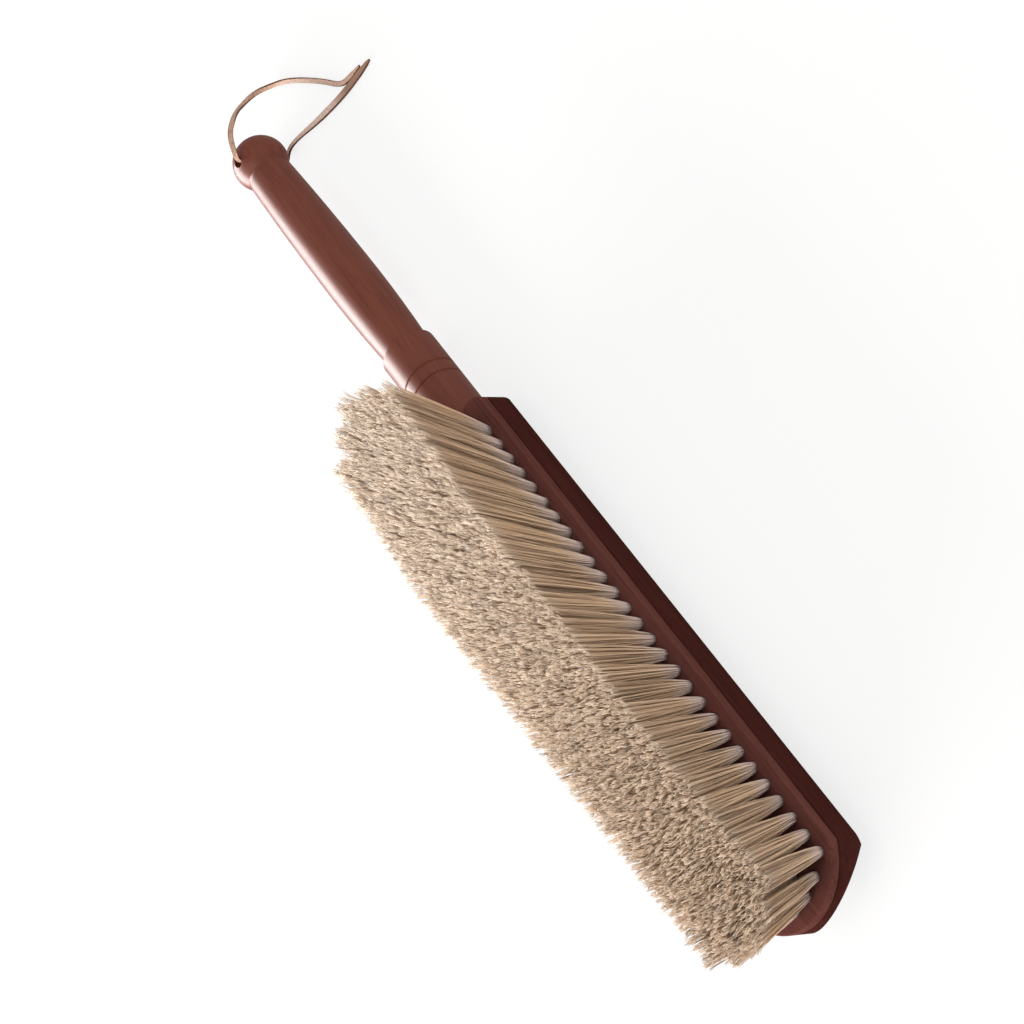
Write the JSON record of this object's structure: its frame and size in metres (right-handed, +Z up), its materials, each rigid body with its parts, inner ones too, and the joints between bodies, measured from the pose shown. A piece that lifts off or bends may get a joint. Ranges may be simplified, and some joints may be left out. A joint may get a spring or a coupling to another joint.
{
  "type": "neck duster brush",
  "caption": "Neck duster brush for salons and barbers: rows of fanned bristle tufts in a long wooden stock, with a turned wooden handle that ends in a ball with a leather hanging lace.",
  "frame": {"origin": "middle of the underside of the brush without its lace, on the surface that it rests on", "axes": "+X along the brush from the round far end to the handle's ball, +Y across it, +Z up from its back to its bristles"},
  "size_m": [0.4271, 0.0787, 0.0592],
  "materials": {
    "lacquered_handle_wood": "clear lacquer over red-brown stain",
    "lacquered_stock_wood": "satin lacquer over purple-brown stain",
    "natural_bristle": "bleached natural bristle",
    "brass_wire": "drawn wire",
    "leather_lace": "tan leather with dark cut edges"
  },
  "bodies": {
    "root": {"handle": "lacquered_handle_wood", "back_block": "lacquered_stock_wood", "tuft_board": "lacquered_stock_wood", "bristle_row_1": "natural_bristle", "bristle_row_2": "natural_bristle", "bristle_row_3": "natural_bristle", "bristle_row_4": "natural_bristle", "bristle_row_5": "natural_bristle", "drawing_wire_1": "brass_wire", "drawing_wire_2": "brass_wire", "drawing_wire_3": "brass_wire", "drawing_wire_4": "brass_wire", "drawing_wire_5": "brass_wire", "lace_upper_leg": "leather_lace", "lace_in_ball": "leather_lace", "lace_lower_leg": "leather_lace"}
  },
  "joints": []
}
